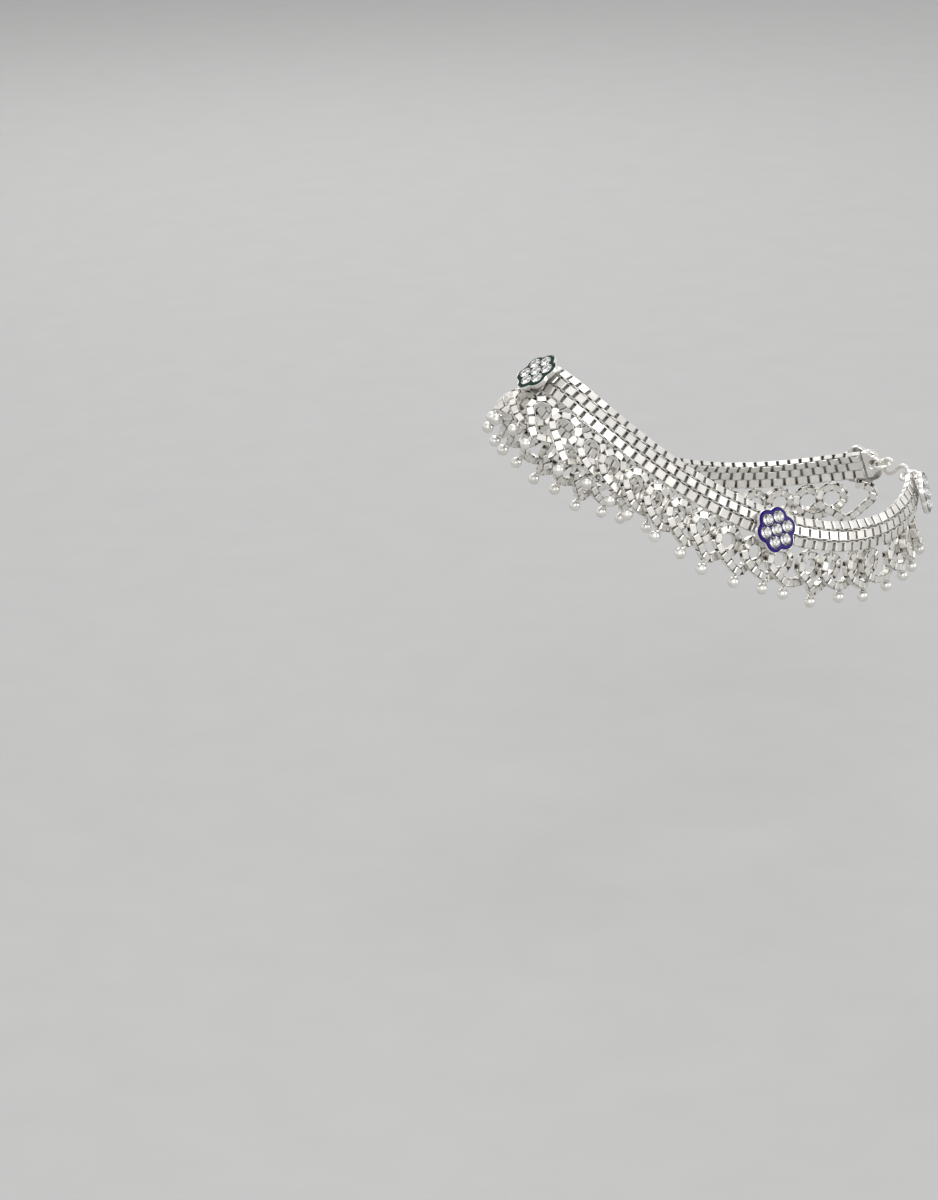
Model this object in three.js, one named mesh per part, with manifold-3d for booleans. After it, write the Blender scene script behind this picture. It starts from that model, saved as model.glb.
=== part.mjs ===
// A payal anklet in its worn form: a silver mesh band of three rows, a fringe of chain curls
// with drop beads, and flowers of enamel and clear stones, closed at the heel by a hook.
// Sizes are in millimetres. +X points to the heel, -Y to the side that shows and +Z up, and
// the origin is the middle of the opening for the ankle.

import * as THREE from 'three';
import { mergeVertices } from 'three/addons/utils/BufferGeometryUtils.js';
import Module from 'manifold-3d';

// The opening, measured to the middle of the band's top edge
const openingLength = 90;
const openingWidth = 57.4;
const openingSquareness = 0.9;
const frontRise = 17;
const sideDip = 8.7;

// Where the closure sits, as a share of the loop from the middle of the front
const closurePlace = 0.5;
const closureLength = 21.2;

// The band
const bandWidth = 6.7;
const bandThickness = 1.8;
const rowCount = 3;
const rowTurn = 18;
const rowGroove = 0.22;
const bandStep = 3;

// How far band and fringe lean outward from upright, in degrees
const bandFlare = { front: 55, side: 23, heel: 13 };
const fringeFlare = { front: 57, side: 5, heel: 13 };

// The fringe's chain and its curls
const chainWidth = 1.95;
const chainSides = 8;
const curlCount = 38;
const curlSteps = 10;
const eyeWidth = 0.86;
const eyeHeight = 5.3;
const eyeStart = -30;
const eyeStep = 40;
const crossingDrop = 1.25;
const swagDrop = 7.2;
const strandDepth = 1.18;
const fringeBack = 0.3;
const fringeMargin = 2.4;

// The curls from the near end on: the gap to the next one as a share of the mean, how far the
// bead hangs to the heel's side as a share of that gap, and its drop as a share of the mean
const curlRows = [
  { gap: 0.82, lean: 0.10, drop: 1.00 },
  { gap: 1.00, lean: -0.18, drop: 1.02 },
  { gap: 1.04, lean: 0.10, drop: 1.00 },
  { gap: 1.34, lean: 0.20, drop: 0.97 },
  { gap: 0.82, lean: 0.20, drop: 1.02 },
  { gap: 1.05, lean: 0.04, drop: 0.94 },
  { gap: 0.92, lean: -0.11, drop: 1.10 },
  { gap: 1.19, lean: -0.10, drop: 0.98 },
  { gap: 1.00, lean: 0.20, drop: 0.98 },
  { gap: 1.05, lean: 0.20, drop: 1.08 },
  { gap: 1.00, lean: 0.07, drop: 1.12 },
  { gap: 0.92, lean: 0.20, drop: 1.01 },
  { gap: 0.92, lean: 0.14, drop: 0.98 },
  { gap: 0.83, lean: -0.11, drop: 0.92 },
  { gap: 0.98, lean: 0.13, drop: 0.90 },
  { gap: 0.84, lean: 0.18, drop: 0.92 },
  { gap: 1.08, lean: 0.18, drop: 1.17 },
  { gap: 1.02, lean: -0.08, drop: 1.16 },
  { gap: 0.87, lean: 0.16, drop: 1.02 },
  { gap: 1.00, lean: -0.11, drop: 0.98 },
  { gap: 1.24, lean: 0.15, drop: 0.88 },
];

// The drop beads
const beadDiameter = 2.45;
const beadSides = 10;
const beadCapDiameter = 1.2;
const beadCapHeight = 0.4;
const beadBands = 4;

// The flowers: a centre stone and six petals with a stone each
const petalCount = 6;
const stoneDiameter = 2.7;
const stoneGap = 0.3;
const stoneHeight = 0.75;
const stoneGirdle = 0.35;
const stoneTable = 0.58;
const stoneSides = 8;
const petalMargin = 0.85;
const petalSink = 0.65;
const petalSteps = 6;
const plateThickness = 1.15;
const plateLift = 0.4;
const postDiameter = 4.4;
const postSides = 12;

// Each flower's place as a share of the band from its far end, how far its centre hangs below
// the band's middle, and its enamel
const flowerRows = [
  { place: 0.008, drop: 1.4, enamel: 'green' },
  { place: 0.241, drop: 1.9, enamel: 'violet' },
  { place: 0.500, drop: 1.2, enamel: 'green' },
  { place: 0.759, drop: 1.9, enamel: 'violet' },
  { place: 0.992, drop: 1.4, enamel: 'green' },
];

// The closure: a plate with an eye at each end, a ring in each eye, and a hook between them
const plateEyeDiameter = 2.4;
const plateRim = 0.8;
const plateNeck = 1.1;
const endPlateThickness = 1.1;
const ringDiameter = 4;
const ringWire = 0.9;
const hookWire = 1;
const hookWidth = 3.4;
const hookSteps = 28;
const wireSides = 6;
const ringSteps = 14;

// The half of the hook at its near end, in halves of its width: how far along, and to a side
const hookBends = [
  { along: 2.1, aside: -0.95 },
  { along: 1, aside: -1 },
  { along: 0.25, aside: -0.72 },
  { along: 0, aside: 0 },
  { along: 0.25, aside: 0.72 },
  { along: 1, aside: 1 },
  { along: 2.2, aside: 0.6 },
];

// The gap that is kept between pieces that touch
const seatGap = 0.3;

const silver = new THREE.MeshStandardMaterial({ color: 0xe9e7e1, roughness: 0.22, metalness: 1 });
const enamels = {
  green: new THREE.MeshStandardMaterial({ color: 0x0f3a24, roughness: 0.16, metalness: 0 }),
  violet: new THREE.MeshStandardMaterial({ color: 0x2a1a6e, roughness: 0.16, metalness: 0 }),
};

const wasm = await Module();
wasm.setup();

// The middle of the band's top edge, a closed loop that starts at the front
class TopEdge extends THREE.Curve {
  getPoint(share, target = new THREE.Vector3()) {
    const angle = share * Math.PI * 2;
    const squareness = openingSquareness;
    return target.set(
      -(openingLength / 2 + squareness) * Math.cos(angle) + squareness * Math.cos(3 * angle),
      -(openingWidth / 2 - squareness) * Math.sin(angle) + squareness * Math.sin(3 * angle),
      frontRise * Math.cos(angle) + sideDip * Math.cos(2 * angle),
    );
  }
}

const topEdge = new TopEdge();
topEdge.arcLengthDivisions = 1440;
const loopLength = topEdge.getLength();
const bandEnd = closurePlace * loopLength - closureLength / 2;
const bandLength = loopLength - closureLength;
const bandStart = bandEnd - bandLength;

// A lean that passes smoothly from front to side to heel
function leanAt(flare, angle) {
  const mean = (flare.front + flare.heel + 2 * flare.side) / 4;
  const frontToHeel = (flare.front - flare.heel) / 2;
  const endsToSides = (flare.front + flare.heel - 2 * flare.side) / 4;
  return THREE.MathUtils.degToRad(
    mean + frontToHeel * Math.cos(angle) + endsToSides * Math.cos(2 * angle));
}

// The loop's own directions at a distance from the front: along it, down and out
function stationAt(distance) {
  const share = THREE.MathUtils.euclideanModulo(distance / loopLength, 1);
  const turn = topEdge.getUtoTmapping(share);
  const along = topEdge.getTangent(turn);
  const out = new THREE.Vector3(along.y, -along.x, 0).normalize();
  const down = new THREE.Vector3().crossVectors(along, out);
  return { origin: topEdge.getPoint(turn), angle: turn * Math.PI * 2, along, down, out };
}

function fallOf(station, lean) {
  return station.down.clone().multiplyScalar(Math.cos(lean))
    .addScaledVector(station.out, Math.sin(lean));
}

function faceOf(station, lean) {
  return station.out.clone().multiplyScalar(Math.cos(lean))
    .addScaledVector(station.down, -Math.sin(lean));
}

// A point of the band: its section is an arc that turns by the rows' turn from top to bottom
function onBand(distance, drop, height) {
  const station = stationAt(distance);
  const lean = leanAt(bandFlare, station.angle);
  const turn = THREE.MathUtils.degToRad(rowTurn * rowCount);
  const radius = bandWidth / turn;
  const topLean = lean + turn / 2;
  const hereLean = topLean - turn * drop / bandWidth;
  return station.origin.clone()
    .addScaledVector(station.down, radius * (Math.sin(topLean) - Math.sin(hereLean)))
    .addScaledVector(station.out, radius * (Math.cos(hereLean) - Math.cos(topLean)))
    .addScaledVector(faceOf(station, hereLean), height);
}

// A point of the fringe, by its drop below the band and its height over the fringe's middle
function onFringe(distance, drop, height) {
  const station = stationAt(distance);
  const lean = leanAt(fringeFlare, station.angle);
  return onBand(distance, bandWidth, 0)
    .addScaledVector(fallOf(station, lean), drop)
    .addScaledVector(faceOf(station, lean), height - fringeBack);
}

function meshOf(name, geometry, material) {
  const mesh = new THREE.Mesh(geometry, material);
  mesh.name = name;
  return mesh;
}

// A closed body through rings of points, with a flat face at each end
function loft(rings, outline) {
  const size = outline.length;
  const faces = THREE.ShapeUtils.triangulateShape(outline, []);
  const points = rings.flat().flatMap((point) => point.toArray());
  const index = [];
  for (const [a, b, c] of faces) {
    const last = (rings.length - 1) * size;
    index.push(c, b, a, last + a, last + b, last + c);
  }
  for (let ring = 0; ring < rings.length - 1; ring += 1) {
    for (let corner = 0; corner < size; corner += 1) {
      const next = (corner + 1) % size;
      const low = ring * size;
      const high = low + size;
      index.push(low + corner, low + next, high + next, low + corner, high + next, high + corner);
    }
  }
  const geometry = new THREE.BufferGeometry();
  geometry.setAttribute('position', new THREE.Float32BufferAttribute(points, 3));
  geometry.setIndex(index);
  geometry.computeVertexNormals();
  return geometry;
}

// A tube of a round wire or chain along a curve
function tubeAlong(curve, diameter, sides, steps) {
  const section = new THREE.Shape();
  for (let side = 0; side < sides; side += 1) {
    const angle = side / sides * Math.PI * 2;
    const point = [diameter / 2 * Math.cos(angle), diameter / 2 * Math.sin(angle)];
    if (side === 0) section.moveTo(...point);
    else section.lineTo(...point);
  }
  section.closePath();
  return new THREE.ExtrudeGeometry(section, { steps, extrudePath: curve, curveSegments: 1 });
}

function solidOf(geometry) {
  const plain = geometry.clone();
  plain.deleteAttribute('normal');
  plain.deleteAttribute('uv');
  const merged = mergeVertices(plain, 1e-4);
  return new wasm.Manifold(new wasm.Mesh({
    numProp: 3,
    vertProperties: new Float32Array(merged.attributes.position.array),
    triVerts: new Uint32Array(merged.index.array),
  }));
}

function geometryOf(solid) {
  const mesh = solid.getMesh();
  const geometry = new THREE.BufferGeometry();
  geometry.setAttribute('position', new THREE.BufferAttribute(mesh.vertProperties, 3));
  geometry.setIndex(new THREE.BufferAttribute(mesh.triVerts, 1));
  geometry.computeVertexNormals();
  return geometry;
}

// The band's section, with a rounded ridge for each row on its outer side
function bandSection() {
  const rowWidth = bandWidth / rowCount;
  const outline = [];
  for (let edge = 0; edge <= rowCount; edge += 1) {
    outline.push(new THREE.Vector2(edge * rowWidth, -bandThickness / 2));
  }
  for (let edge = rowCount; edge >= 0; edge -= 1) {
    outline.push(new THREE.Vector2(edge * rowWidth, bandThickness / 2 - rowGroove));
    if (edge > 0) {
      outline.push(new THREE.Vector2((edge - 0.5) * rowWidth, bandThickness / 2));
    }
  }
  return outline;
}

function makeBand() {
  const outline = bandSection();
  const steps = Math.ceil(bandLength / bandStep);
  const rings = [];
  for (let step = 0; step <= steps; step += 1) {
    const distance = bandEnd - bandLength * step / steps;
    rings.push(outline.map((corner) => onBand(distance, corner.x, corner.y)));
  }
  return meshOf('mesh_band', loft(rings, outline), silver);
}

// The curls from the near end back to the far one: each eye, and the swag before it
function curlList() {
  const rows = Array.from({ length: curlCount }, (_, curl) => curlRows[curl % curlRows.length]);
  const shares = rows.reduce((sum, row) => sum + row.gap, 0);
  const spacing = (bandLength - 2 * fringeMargin) / shares;
  let distance = bandEnd - fringeMargin;
  const eyes = [{ distance }];
  const swags = rows.map((row) => {
    const gap = row.gap * spacing;
    const swag = { distance: distance + (row.lean - 0.5) * gap, drop: row.drop * swagDrop, gap };
    distance -= gap;
    eyes.push({ distance });
    return swag;
  });
  eyes.forEach((eye, place) => {
    const before = swags[Math.max(place - 1, 0)].gap;
    const after = swags[Math.min(place, swags.length - 1)].gap;
    eye.reach = eyeWidth * (before + after) / 4;
  });
  return { eyes, swags };
}

const eyeTop = seatGap + chainWidth / 2;
const { eyes, swags } = curlList();

// The turns of one eye: up behind on the heel's side, over the top and down in front
function eyeTurns(eye) {
  const crossing = { share: 1, reach: 0, drop: crossingDrop };
  const turns = [{ ...crossing, share: -1 }];
  for (let degrees = eyeStart; degrees <= 180 - eyeStart; degrees += eyeStep) {
    const angle = THREE.MathUtils.degToRad(degrees);
    const share = THREE.MathUtils.clamp((degrees - 90) / 90, -1, 1);
    turns.push({ share, reach: Math.cos(angle), drop: -Math.sin(angle) });
  }
  turns.push(crossing);
  return turns.map((turn) => onFringe(
    eye.distance + turn.reach * eye.reach,
    eyeTop + eyeHeight / 2 * (1 + turn.drop),
    turn.share * strandDepth,
  ));
}

function makeFringe() {
  const points = [];
  for (let place = eyes.length - 1; place >= 0; place -= 1) {
    const turns = eyeTurns(eyes[place]);
    const top = (turns.length - 1) / 2;
    if (place === eyes.length - 1) points.push(...turns.slice(top));
    else if (place === 0) points.push(...turns.slice(0, top + 1));
    else points.push(...turns);
    if (place > 0) {
      const swag = swags[place - 1];
      points.push(onFringe(swag.distance, eyeTop + swag.drop, 0));
    }
  }
  const path = new THREE.CatmullRomCurve3(points);
  path.arcLengthDivisions = points.length * curlSteps;
  const tube = tubeAlong(path, chainWidth, chainSides, swags.length * curlSteps);
  return meshOf('fringe_chain', tube, silver);
}

// A ball under a short cap, in its own frame with the cap's top at the origin
function beadGeometry() {
  const radius = beadDiameter / 2;
  const capRadius = beadCapDiameter / 2;
  const seat = Math.asin(capRadius / radius);
  const centre = -beadCapHeight - radius * Math.cos(seat);
  const profile = [new THREE.Vector2(0, centre - radius)];
  for (let band = 1; band <= beadBands; band += 1) {
    const angle = (Math.PI - seat) * band / beadBands;
    profile.push(new THREE.Vector2(radius * Math.sin(angle), centre - radius * Math.cos(angle)));
  }
  profile.push(new THREE.Vector2(capRadius, 0), new THREE.Vector2(0, 0));
  return new THREE.LatheGeometry(profile, beadSides).rotateX(Math.PI / 2);
}

// A matrix that stands a piece at a point: its X along the loop, its Z out of the face
function placing(point, along, face) {
  const up = new THREE.Vector3().crossVectors(face, along);
  return new THREE.Matrix4().makeBasis(along, up, face).setPosition(point);
}

function makeBeads() {
  const geometry = beadGeometry();
  const beads = new THREE.Group();
  swags.forEach((swag, place) => {
    const station = stationAt(swag.distance);
    const lean = leanAt(fringeFlare, station.angle);
    const hang = eyeTop + swag.drop + chainWidth / 2 + seatGap;
    const name = `drop_bead_${String(place + 1).padStart(2, '0')}`;
    const bead = meshOf(name, geometry, silver);
    bead.applyMatrix4(placing(
      onFringe(swag.distance, hang, 0), station.along, fallOf(station, lean).negate()));
    beads.add(bead);
  });
  return beads;
}

const stoneRing = stoneDiameter + stoneGap;
const petalReach = stoneDiameter / 2 + petalMargin;

// The edge of the plate: a round plate under six petals, each round its own stone
function petalOutline() {
  const sector = Math.PI * 2 / petalCount;
  const valley = stoneRing + petalReach - petalSink;
  const points = [];
  for (let petal = 0; petal < petalCount; petal += 1) {
    for (let step = 0; step < petalSteps; step += 1) {
      const aside = (step / petalSteps - 0.5) * sector;
      const depth = petalReach ** 2 - (stoneRing * Math.sin(aside)) ** 2;
      const lobe = stoneRing * Math.cos(aside) + Math.sqrt(Math.max(depth, 0));
      const radius = Math.max(lobe, valley);
      const angle = petal * sector + aside;
      points.push(new THREE.Vector2(radius * Math.cos(angle), radius * Math.sin(angle)));
    }
  }
  return new THREE.Shape(points);
}

// A cut stone with a flat table and a ring of facets, standing on the plate
function stoneSolid(x, y) {
  const radius = stoneDiameter / 2;
  const profile = [
    new THREE.Vector2(0, -plateThickness / 2),
    new THREE.Vector2(radius, -plateThickness / 2),
    new THREE.Vector2(radius, stoneHeight * stoneGirdle),
    new THREE.Vector2(radius * stoneTable, stoneHeight),
    new THREE.Vector2(0, stoneHeight),
  ];
  const stone = new THREE.LatheGeometry(profile, stoneSides).rotateX(Math.PI / 2);
  return solidOf(stone.translate(x, y, 0));
}

// A flower in its own frame: the plate's top at height 0, the post below it
function flowerGeometry(drop) {
  const plate = new THREE.ExtrudeGeometry(petalOutline(), {
    depth: plateThickness, steps: 1, bevelEnabled: false,
  }).translate(0, 0, -plateThickness);
  const postHeight = plateLift + plateThickness / 2;
  const postRadius = postDiameter / 2;
  const post = new THREE.CylinderGeometry(postRadius, postRadius, postHeight, postSides)
    .rotateX(Math.PI / 2)
    .translate(0, drop, -plateThickness - plateLift + postHeight / 2);
  let solid = solidOf(plate).add(solidOf(post)).add(stoneSolid(0, 0));
  for (let petal = 0; petal < petalCount; petal += 1) {
    const angle = petal * Math.PI * 2 / petalCount;
    solid = solid.add(stoneSolid(stoneRing * Math.cos(angle), stoneRing * Math.sin(angle)));
  }
  return geometryOf(solid);
}

function makeFlowers() {
  const flowers = new THREE.Group();
  flowerRows.forEach((row, place) => {
    const distance = bandStart + row.place * bandLength;
    const station = stationAt(distance);
    const lean = leanAt(bandFlare, station.angle);
    const lift = bandThickness / 2 + seatGap + plateLift + plateThickness;
    const centre = onBand(distance, bandWidth / 2, lift)
      .addScaledVector(fallOf(station, lean), row.drop);
    const name = `flower_${place + 1}_${row.enamel}`;
    const flower = meshOf(name, flowerGeometry(row.drop), enamels[row.enamel]);
    flower.applyMatrix4(placing(centre, station.along, faceOf(station, lean)));
    flowers.add(flower);
  });
  return flowers;
}

// Where each ring's wire passes through its plate's eye, counted from the band's end
const eyeInset = seatGap + plateNeck + plateEyeDiameter / 2;
const ringInset = eyeInset + plateEyeDiameter / 2 - seatGap - ringWire / 2;

// A plate that narrows from the band's end to a rounded eye, lying in the band's own face
function endPlateGeometry() {
  const reach = plateEyeDiameter / 2 + plateRim;
  const outline = new THREE.Shape();
  outline.moveTo(seatGap, -bandWidth / 2);
  outline.lineTo(seatGap + plateNeck, -bandWidth / 2);
  outline.lineTo(eyeInset, -reach);
  outline.absarc(eyeInset, 0, reach, -Math.PI / 2, Math.PI / 2, false);
  outline.lineTo(seatGap + plateNeck, bandWidth / 2);
  outline.lineTo(seatGap, bandWidth / 2);
  outline.closePath();
  const hole = new THREE.Path();
  hole.absarc(eyeInset, 0, plateEyeDiameter / 2, 0, Math.PI * 2, true);
  outline.holes.push(hole);
  return new THREE.ExtrudeGeometry(outline, {
    depth: endPlateThickness, steps: 1, bevelEnabled: false, curveSegments: 5,
  }).translate(0, 0, -endPlateThickness / 2);
}

// One end of the closure: its side is 1 at the near end and -1 at the far end
function makeEnd(side, name) {
  const end = side > 0 ? bandEnd : bandStart;
  const middle = bandWidth / 2;
  const station = stationAt(end);
  const face = faceOf(station, leanAt(bandFlare, station.angle));
  const plate = meshOf(`end_plate_${name}`, endPlateGeometry(), silver);
  plate.applyMatrix4(placing(
    onBand(end, middle, 0), station.along.clone().multiplyScalar(side), face));

  const eyePoint = onBand(end, middle, 0).addScaledVector(station.along, side * ringInset);
  const hookPoint = onBand(end + side * (ringInset + ringDiameter), middle, 0);
  const reach = hookPoint.sub(eyePoint).normalize();
  const across = new THREE.Vector3().crossVectors(face, reach).normalize();
  const ringGeometry = new THREE.TorusGeometry(ringDiameter / 2, ringWire / 2, wireSides, ringSteps);
  const ring = meshOf(`end_ring_${name}`, ringGeometry, silver);
  ring.applyMatrix4(placing(
    eyePoint.clone().addScaledVector(reach, ringDiameter / 2), reach, across));
  return { parts: [plate, ring], eyePoint, reach };
}

// A hook bent like an S, lying along the heel with an end bent round each ring
function makeHook(near, far) {
  const grip = ringDiameter - ringWire / 2 - seatGap - hookWire / 2;
  const from = near.eyePoint.clone().addScaledVector(near.reach, grip);
  const to = far.eyePoint.clone().addScaledVector(far.reach, grip);
  const along = to.clone().sub(from).normalize();
  const station = stationAt(closurePlace * loopLength);
  const across = new THREE.Vector3().crossVectors(station.out, along).normalize();
  const half = hookWidth / 2;
  const start = hookBends.map((bend) => from.clone()
    .addScaledVector(along, bend.along * half).addScaledVector(across, bend.aside * half));
  const finish = hookBends.map((bend) => to.clone()
    .addScaledVector(along, -bend.along * half).addScaledVector(across, -bend.aside * half));
  const path = new THREE.CatmullRomCurve3([...start, ...finish.reverse()]);
  return meshOf('closing_hook', tubeAlong(path, hookWire, wireSides, hookSteps), silver);
}

const near = makeEnd(1, 'near');
const far = makeEnd(-1, 'far');

const anklet = new THREE.Group();
anklet.add(makeBand(), makeFringe(), makeBeads(), makeFlowers());
anklet.add(...near.parts, ...far.parts, makeHook(near, far));

export default anklet;
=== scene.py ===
# A silver payal anklet in its worn form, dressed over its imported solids.
import math

import bmesh
import bpy
import numpy as np
from mathutils import Matrix, Vector


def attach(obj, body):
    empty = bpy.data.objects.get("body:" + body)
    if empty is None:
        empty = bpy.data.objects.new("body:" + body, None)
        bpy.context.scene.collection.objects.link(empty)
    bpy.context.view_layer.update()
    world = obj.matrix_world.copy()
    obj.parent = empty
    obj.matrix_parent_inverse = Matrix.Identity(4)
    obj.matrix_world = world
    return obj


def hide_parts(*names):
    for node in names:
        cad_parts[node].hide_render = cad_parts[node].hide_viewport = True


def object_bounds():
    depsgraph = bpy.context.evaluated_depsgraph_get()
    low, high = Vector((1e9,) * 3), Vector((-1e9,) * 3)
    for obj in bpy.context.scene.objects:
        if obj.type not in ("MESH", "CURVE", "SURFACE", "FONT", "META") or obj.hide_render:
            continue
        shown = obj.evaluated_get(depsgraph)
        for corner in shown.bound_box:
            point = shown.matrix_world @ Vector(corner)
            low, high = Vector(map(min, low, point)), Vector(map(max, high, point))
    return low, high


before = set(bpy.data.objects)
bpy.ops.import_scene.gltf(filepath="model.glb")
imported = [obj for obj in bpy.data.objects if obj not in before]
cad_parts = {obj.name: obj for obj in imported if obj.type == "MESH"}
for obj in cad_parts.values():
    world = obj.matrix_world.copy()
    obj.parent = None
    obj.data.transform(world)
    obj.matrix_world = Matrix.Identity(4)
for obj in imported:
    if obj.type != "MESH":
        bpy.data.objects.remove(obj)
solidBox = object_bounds()
print("solids loaded:", len(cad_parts))

# sizes of the anklet are in millimetres and angles in degrees, and meshes are made in metres
millimetre = 0.001
smoothAngle = 34  # faces that meet at less than this are shaded as one

loop = {
    "openingLength": 90,
    "openingWidth": 57.4,
    "squareness": 0.9,
    "frontRise": 17,
    "sideDip": 8.7,
    "closureLength": 21.2,
    "steps": 2880,
}

band = {
    "width": 6.7,
    "thickness": 1.8,
    "rows": 3,
    "rowTurn": 18,
    "flare": {"front": 55, "side": 23, "heel": 13},
    "linkPairs": 88,
}

fringe = {
    "flare": {"front": 57, "side": 5, "heel": 13},
    "chainWidth": 1.95,
    "count": 38,
    "eyeWidth": 0.86,
    "eyeHeight": 5.3,
    "eyeStart": -30,
    "eyeStep": 40,
    "crossingDrop": 1.25,
    "swagDrop": 7.2,
    "strandDepth": 1.18,
    "back": 0.3,
    "margin": 2.4,
    "seatGap": 0.3,
}

# the curls from the near end: gap to the next, lean of the bead and drop, as shares
curlRows = [
    {"gap": 0.82, "lean": 0.10, "drop": 1.00},
    {"gap": 1.00, "lean": -0.18, "drop": 1.02},
    {"gap": 1.04, "lean": 0.10, "drop": 1.00},
    {"gap": 1.34, "lean": 0.20, "drop": 0.97},
    {"gap": 0.82, "lean": 0.20, "drop": 1.02},
    {"gap": 1.05, "lean": 0.04, "drop": 0.94},
    {"gap": 0.92, "lean": -0.11, "drop": 1.10},
    {"gap": 1.19, "lean": -0.10, "drop": 0.98},
    {"gap": 1.00, "lean": 0.20, "drop": 0.98},
    {"gap": 1.05, "lean": 0.20, "drop": 1.08},
    {"gap": 1.00, "lean": 0.07, "drop": 1.12},
    {"gap": 0.92, "lean": 0.20, "drop": 1.01},
    {"gap": 0.92, "lean": 0.14, "drop": 0.98},
    {"gap": 0.83, "lean": -0.11, "drop": 0.92},
    {"gap": 0.98, "lean": 0.13, "drop": 0.90},
    {"gap": 0.84, "lean": 0.18, "drop": 0.92},
    {"gap": 1.08, "lean": 0.18, "drop": 1.17},
    {"gap": 1.02, "lean": -0.08, "drop": 1.16},
    {"gap": 0.87, "lean": 0.16, "drop": 1.02},
    {"gap": 1.00, "lean": -0.11, "drop": 0.98},
    {"gap": 1.24, "lean": 0.15, "drop": 0.88},
]


def column(values):
    return np.asarray(values, float)[..., None]


def unit(vectors):
    return vectors / np.linalg.norm(vectors, axis=-1, keepdims=True)


# the middle of the band's top edge, turned through from the front
def topEdge(turn):
    square = loop["squareness"]
    return np.stack([
        -(loop["openingLength"] / 2 + square) * np.cos(turn) + square * np.cos(3 * turn),
        -(loop["openingWidth"] / 2 - square) * np.sin(turn) + square * np.sin(3 * turn),
        loop["frontRise"] * np.cos(turn) + loop["sideDip"] * np.cos(2 * turn),
    ], axis=-1)


loopTurns = np.linspace(-math.pi, math.pi, loop["steps"] + 1)
loopSteps = np.linalg.norm(np.diff(topEdge(loopTurns), axis=0), axis=1)
loopPlaces = np.concatenate([[0], np.cumsum(loopSteps)])
loopLength = loopPlaces[-1]
loopPlaces -= loopLength / 2
bandEnd = (loopLength - loop["closureLength"]) / 2
bandStart = -bandEnd


def leanAt(flare, turn):
    mean = (flare["front"] + flare["heel"] + 2 * flare["side"]) / 4
    frontToHeel = (flare["front"] - flare["heel"]) / 2
    endsToSides = (flare["front"] + flare["heel"] - 2 * flare["side"]) / 4
    return np.radians(mean + frontToHeel * np.cos(turn) + endsToSides * np.cos(2 * turn))


# the loop's own directions at places along it: along, down and out
def stationAt(place):
    place = (np.asarray(place, float) + loopLength / 2) % loopLength - loopLength / 2
    turn = np.interp(place, loopPlaces, loopTurns)
    small = 1e-4
    along = unit(topEdge(turn + small) - topEdge(turn - small))
    flat = np.stack([along[..., 1], -along[..., 0], 0 * along[..., 0]], axis=-1)
    out = unit(flat)
    return {"origin": topEdge(turn), "turn": turn, "along": along,
            "out": out, "down": np.cross(along, out)}


def fallOf(station, lean):
    return station["down"] * column(np.cos(lean)) + station["out"] * column(np.sin(lean))


def faceOf(station, lean):
    return station["out"] * column(np.cos(lean)) - station["down"] * column(np.sin(lean))


def bandLean(station, drop):
    turn = math.radians(band["rowTurn"] * band["rows"])
    return leanAt(band["flare"], station["turn"]) + turn / 2 - turn * drop / band["width"]


def onBand(place, drop, height=0):
    station = stationAt(place)
    radius = band["width"] / math.radians(band["rowTurn"] * band["rows"])
    top = bandLean(station, 0)
    here = bandLean(station, drop)
    return (station["origin"]
            + station["down"] * column(radius * (np.sin(top) - np.sin(here)))
            + station["out"] * column(radius * (np.cos(here) - np.cos(top)))
            + faceOf(station, here) * column(np.asarray(height) + 0 * here))


def onFringe(place, drop, height=0):
    station = stationAt(place)
    lean = leanAt(fringe["flare"], station["turn"])
    return (onBand(place, band["width"])
            + fallOf(station, lean) * column(np.asarray(drop) + 0 * lean)
            + faceOf(station, lean) * column(np.asarray(height) - fringe["back"] + 0 * lean))


# making meshes and pieces


def meshFrom(name, points, faces, paintedShade=None, sharpAngle=smoothAngle):
    mesh = bpy.data.meshes.new(name)
    mesh.from_pydata([tuple(point) for point in np.asarray(points, float)], [], faces)
    # each point's share of painted shade is kept on the mesh for the finish to read
    if paintedShade is not None:
        store = mesh.attributes.new("paintedShade", "FLOAT", "POINT")
        store.data.foreach_set("value", np.asarray(paintedShade, np.float32))
    mesh.polygons.foreach_set("use_smooth", [True] * len(mesh.polygons))
    mesh.update()
    mesh.set_sharp_from_angle(angle=math.radians(sharpAngle))
    return mesh


# rings of points joined into a wall; each end is closed by a face, or the rings close in a circle
def wall(rings, closed=False):
    size = len(rings[0])
    count = len(rings)
    points = [point for ring in rings for point in ring]
    faces = []
    for ring in range(count if closed else count - 1):
        low = ring * size
        high = (ring + 1) % count * size
        for corner in range(size):
            following = (corner + 1) % size
            faces.append((low + corner, low + following, high + following, high + corner))
    if not closed:
        faces.append(tuple(reversed(range(size))))
        faces.append(tuple(range((count - 1) * size, count * size)))
    return points, faces


def joinShapes(shapes):
    points = []
    faces = []
    paintedShade = []
    for shape in shapes:
        first = len(points)
        points.extend(shape["points"])
        faces.extend(tuple(corner + first for corner in face) for face in shape["faces"])
        paintedShade.extend(shape.get("paintedShade", [0] * len(shape["points"])))
    return {"points": points, "faces": faces, "paintedShade": paintedShade}


def shifted(shape, x, y):
    return {**shape, "points": [(px + x, py + y, pz) for px, py, pz in shape["points"]]}


def placed(shape, origin, axisX, axisY, axisZ):
    points = np.asarray(shape["points"], float)
    moved = np.asarray(origin) + points @ np.array([axisX, axisY, axisZ])
    return {**shape, "points": moved}


def turnOut(mesh):
    work = bmesh.new()
    work.from_mesh(mesh)
    bmesh.ops.recalc_face_normals(work, faces=work.faces)
    work.to_mesh(mesh)
    work.free()


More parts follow.
